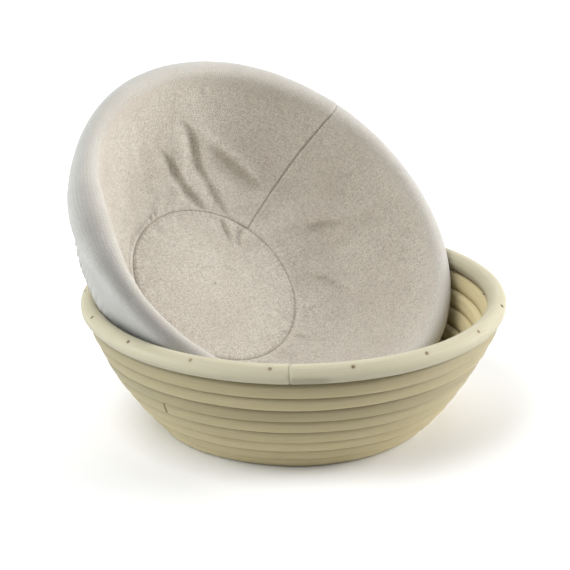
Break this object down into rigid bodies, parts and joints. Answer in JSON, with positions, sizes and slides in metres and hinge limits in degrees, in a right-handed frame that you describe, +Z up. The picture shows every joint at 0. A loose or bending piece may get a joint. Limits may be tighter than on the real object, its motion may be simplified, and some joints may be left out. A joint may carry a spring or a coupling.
{
  "type": "banneton proofing basket set",
  "caption": "Pair of round cane proofing baskets for bread dough: a bare basket standing upright and a linen-lined basket leaning inside it.",
  "frame": {"origin": "centre of the bare basket's flat underside", "axes": "+Z up out of the bare basket's mouth; the lined basket's mouth faces up towards +X and -Y"},
  "size_m": [0.2223, 0.2213, 0.1706],
  "materials": {
    "cane": "matte peeled cane",
    "plug_wood": "matte turned wood",
    "nail_steel": "dull wire nail",
    "linen": "unbleached linen",
    "thread": "matte sewing thread",
    "elastic": "flat woven elastic"
  },
  "bodies": {
    "bare_basket": {"bare_base_coil": "cane", "bare_base_nails": "nail_steel", "bare_base_plug": "plug_wood", "bare_rim_hoop": "cane", "bare_rim_nails": "nail_steel", "bare_wall_hoop_1": "cane", "bare_wall_hoop_2": "cane", "bare_wall_hoop_3": "cane", "bare_wall_hoop_4": "cane", "bare_wall_hoop_5": "cane", "bare_wall_hoop_6": "cane", "bare_wall_hoop_7": "cane", "bare_wall_hoop_8": "cane", "bare_wall_nails": "nail_steel"},
    "lined_basket": {"lined_base_coil": "cane", "lined_base_nails": "nail_steel", "lined_base_plug": "plug_wood", "lined_rim_hoop": "cane", "lined_rim_nails": "nail_steel", "lined_wall_hoop_1": "cane", "lined_wall_hoop_2": "cane", "lined_wall_hoop_3": "cane", "lined_wall_hoop_4": "cane", "lined_wall_hoop_5": "cane", "lined_wall_hoop_6": "cane", "lined_wall_hoop_7": "cane", "lined_wall_hoop_8": "cane", "lined_wall_nails": "nail_steel"},
    "liner": {"liner_base_panel": "linen", "liner_base_seam": "thread", "liner_elastic": "elastic", "liner_hem_stitching": "thread", "liner_side_seam": "thread", "liner_wall_panel": "linen"}
  },
  "joints": [
    {"name": "basket_lift", "type": "slide", "parent": "bare_basket", "child": "lined_basket", "axis": [0, 0, 1], "range_m": [0, 0.12]},
    {"name": "liner_lift", "type": "slide", "parent": "lined_basket", "child": "liner", "axis": [0.2343, -0.2603, 0.9367], "range_m": [0, 0.11], "deforming": ["liner_base_panel", "liner_base_seam", "liner_elastic", "liner_hem_stitching", "liner_side_seam", "liner_wall_panel"]}
  ]
}
